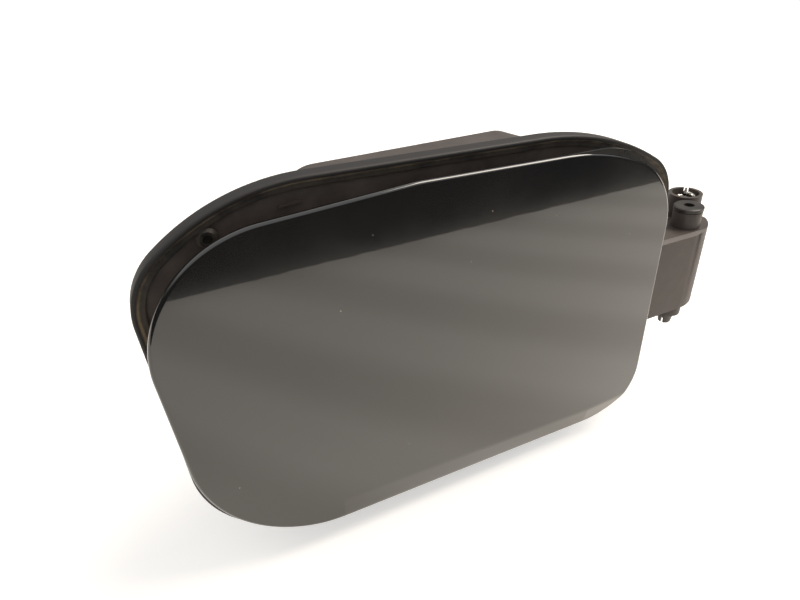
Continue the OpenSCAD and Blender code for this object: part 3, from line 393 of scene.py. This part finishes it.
def close_ends(piece, columns, rows):
    """Closes a swept piece with one flat face at each end."""
    shell = bmesh.new()
    shell.from_mesh(piece.data)
    shell.verts.ensure_lookup_table()
    for row in (0, rows - 1):
        shell.faces.new([shell.verts[row * columns + k] for k in range(columns)])
    bmesh.ops.recalc_face_normals(shell, faces=shell.faces)
    shell.to_mesh(piece.data)
    shell.free()


close_ends(gasket, gasket_columns, gasket_rows)
rubber = finish_of("seal_rubber", "1c1a19", Roughness=0.6, IOR=1.52)
grained(rubber, 0.6, 0.02)
tree = rubber.node_tree
rubber_shader = tree.nodes["Principled BSDF"]
strip = add(tree, "UVMap", {"uv_map": "grid"})
split = add(tree, "SeparateXYZ", None, {"Vector": (strip, "UV")})
where = add(tree, "TexCoord")
patchy = add(tree, "TexNoise", {"Scale": 1 / (9 * MM), "Detail": 5.0, "Roughness": 0.7},
             {"Vector": (where, "Object")})
line = stops(add(tree, "ValToRGB", None, {"Fac": (split, "Y")}),
             (0.42, 0.0), (0.47, 1.0), (0.52, 1.0), (0.58, 0.15))
broken = stops(add(tree, "ValToRGB", None, {"Fac": (patchy, "Fac")}), (0.35, 0.15), (0.62, 0.95))
dirt = add(tree, "Math", {"operation": "MULTIPLY"}, {0: (line, "Color"), 1: (broken, "Color")})
add(tree, "MixRGB", {"Color1": linear("1f1c1b"), "Color2": linear("8d7f6a")}, {"Fac": (dirt, "Value")},
    [("Color", rubber_shader, "Base Color")])
gasket.data.materials.append(rubber)
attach(gasket, "pocket")
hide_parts("rim_seal")


# Neck collar, stops and drain valve: the same soft black rubber, moulded, with a bloom of dust.
moulded_rubber = grained(finish_of("moulded_rubber", "1c1a19", Roughness=0.68, IOR=1.52), 0.6, 0.02,
                         ("171615", "2b2825"), 10.0)
dress(["neck_seal", "upper_buffer", "lower_buffer", "drain_valve"], moulded_rubber)


# Hinge pin: a hollow nylon moulding, its flat head on the boss and its slotted, barbed tip below.
pin_nylon = grained(finish_of("black_nylon_pin", "2a2726", Roughness=0.34, IOR=1.53), 0.8, 0.015,
                    ("24211f", "38342f"), 6.0)
dress(["hinge_pin"], pin_nylon)


# Snap spring: bright drawn steel wire, coiled in its cup, one leg down to the hub and one across the top.
spring_steel = grained(finish_of("bright_spring_steel", "c9c6c0", Metallic=1.0, Roughness=0.22), 0.4, 0.004,
                       ("bdbab4", "d6d3cc"), 2.0)
dress(["snap_spring", "body_clips"], spring_steel)


# Fixings: phosphated screws through the flange and a natural nylon bush that guides the lock's bolt.
phosphate = grained(finish_of("black_phosphated_steel", "35322f", Metallic=0.6, Roughness=0.5), 0.4, 0.006,
                    ("2b2826", "4a4641"), 2.0)
dress(["body_screws"], phosphate)
natural = grained(finish_of("natural_nylon", "cfc8b6", Roughness=0.4, IOR=1.53, Subsurface_Weight=0.2,
                            Subsurface_Radius=(0.001, 0.0008, 0.0006)), 0.8, 0.01, ("c4bca8", "d9d3c4"), 6.0)
dress(["lock_bush"], natural)


# Camera: fitted to the door's outline, the rim and the hinge box in the photograph.
IMAGE = (800, 600)
FOCAL_PX = 573.864
CAMERA_AT = Vector((-91.106, -210.149, 127.462)) * MM
CAMERA_RIGHT = Vector((0.9095, -0.4126, -0.0506)).normalized()
CAMERA_UP = Vector((0.2539, 0.4554, 0.8535))
camera_back = CAMERA_RIGHT.cross(CAMERA_UP).normalized()
camera_up = camera_back.cross(CAMERA_RIGHT)
camera_data = bpy.data.cameras.new("camera")
camera_data.sensor_width = 36.0
camera_data.lens = FOCAL_PX * camera_data.sensor_width / IMAGE[0]
camera_data.clip_start = 0.01
camera = bpy.data.objects.new("camera", camera_data)
bpy.context.scene.collection.objects.link(camera)
camera.matrix_world = (Matrix.Translation(CAMERA_AT)
                       @ Matrix((CAMERA_RIGHT, camera_up, camera_back)).transposed().to_4x4())
bpy.context.scene.camera = camera


# Table: the white sheet that the part stands on, leaning back on its rim and drain. It ends a little way
# in front, beyond which the room is dark, and the door's gloss mirrors that edge.
scene = bpy.context.scene
scene.view_settings.view_transform = "Standard"
LEAN = math.radians(7)
FLOOR_POINT = Vector((0, -16, -73.6)) * MM
FRONT, BACK, HALF = -0.36, 2.5, 2.5
ahead = Vector((0, math.cos(LEAN), math.sin(LEAN)))
aside = Vector((1, 0, 0))
table_mesh = bpy.data.meshes.new("table")
table_mesh.from_pydata([FLOOR_POINT + ahead * a + aside * b for a, b in
                        ((FRONT, -HALF), (FRONT, HALF), (BACK, HALF), (BACK, -HALF))], [], [(0, 1, 2, 3)])
table = bpy.data.objects.new("table", table_mesh)
scene.collection.objects.link(table)
white = finish_of("white_table", "e9e7e4", Roughness=0.9)
tree = white.node_tree
shader, surface_out = tree.nodes["Principled BSDF"], tree.nodes["Material Output"]
ray = add(tree, "LightPath")
seen = add(tree, "Math", {"operation": "MAXIMUM"}, {0: (ray, "Is Camera Ray"), 1: (ray, "Is Transmission Ray")})
# Painted reflection and painted shadow: for glossy rays alone the sheet glows warm, crossed by soft darker
# bands of painted shade, and the door's gloss mirrors them.
where = add(tree, "TexCoord")
turned = add(tree, "Mapping", {"Rotation": (0.0, 0.0, math.radians(35))}, {"Vector": (where, "Object")})
painted_shadow_bands = add(tree, "TexWave", {"Scale": 3.2, "Distortion": 3.0, "Detail": 1.0, "Detail Scale": 0.6},
            {"Vector": (turned, "Vector")})
painted_reflection_tone = stops(add(tree, "ValToRGB", None, {"Fac": (painted_shadow_bands, "Fac")}), (0.1, "c9c0b0"), (0.8, "fff6e8"))
mirrored = add(tree, "Emission", {"Strength": 0.55}, {"Color": (painted_reflection_tone, "Color")})
plain = add(tree, "Emission", {"Strength": 0.42})  # lifts the sheet to white for the camera alone
lift = add(tree, "MixShader", None, {0: (ray, "Is Glossy Ray"), 1: (plain, 0), 2: (mirrored, 0)})
both = add(tree, "Math", {"operation": "MAXIMUM"}, {0: (seen, "Value"), 1: (ray, "Is Glossy Ray")})
none = add(tree, "Emission", {"Strength": 0.0})
chosen = add(tree, "MixShader", None, {0: (both, "Value"), 1: (none, 0), 2: (lift, 0)})
add(tree, "AddShader", None, {0: (shader, 0), 1: (chosen, 0)}, [(0, surface_out, "Surface")])
table_mesh.materials.append(white)

world = bpy.data.worlds.new("studio")
world.use_nodes = True
scene.world = world
tree = world.node_tree
tree.nodes.clear()
ray = add(tree, "LightPath")
where = add(tree, "TexCoord")
split = add(tree, "SeparateXYZ", None, {"Vector": (where, "Generated")})
height = stops(add(tree, "ValToRGB", None, {"Fac": (split, "Z")}), (0.0, 0.08), (0.28, 0.1), (0.55, 0.9))
room = add(tree, "Background", {"Color": linear("fffdfa"), "Strength": 0.72})
backdrop = add(tree, "Background", {"Color": (1, 1, 1, 1), "Strength": 1.0})
mirror_room = add(tree, "Background", {"Strength": 1.0}, {"Color": (height, "Color")})
glossy = add(tree, "MixShader", None, {0: (ray, "Is Glossy Ray"), 1: (room, 0), 2: (mirror_room, 0)})
camera_or_glass = add(tree, "Math", {"operation": "MAXIMUM"},
                      {0: (ray, "Is Camera Ray"), 1: (ray, "Is Transmission Ray")})
world_out = add(tree, "OutputWorld")
add(tree, "MixShader", None, {0: (camera_or_glass, "Value"), 1: (glossy, 0), 2: (backdrop, 0)},
    [(0, world_out, "Surface")])


def softbox(name, place, aim, size, power, colour):
    """A square area lamp, placed and aimed in metres."""
    data = bpy.data.lights.new(name, "AREA")
    data.shape, data.size, data.energy, data.color = "SQUARE", size, power, linear(colour)[:3]
    lamp = bpy.data.objects.new(name, data)
    lamp.location = place
    lamp.rotation_euler = (Vector(aim) - Vector(place)).to_track_quat("-Z", "Y").to_euler()
    scene.collection.objects.link(lamp)


softbox("key", (0.55, -0.1, 0.85), (0.0, 0.0, 0.0), 0.6, 9.0, "fff4e6")
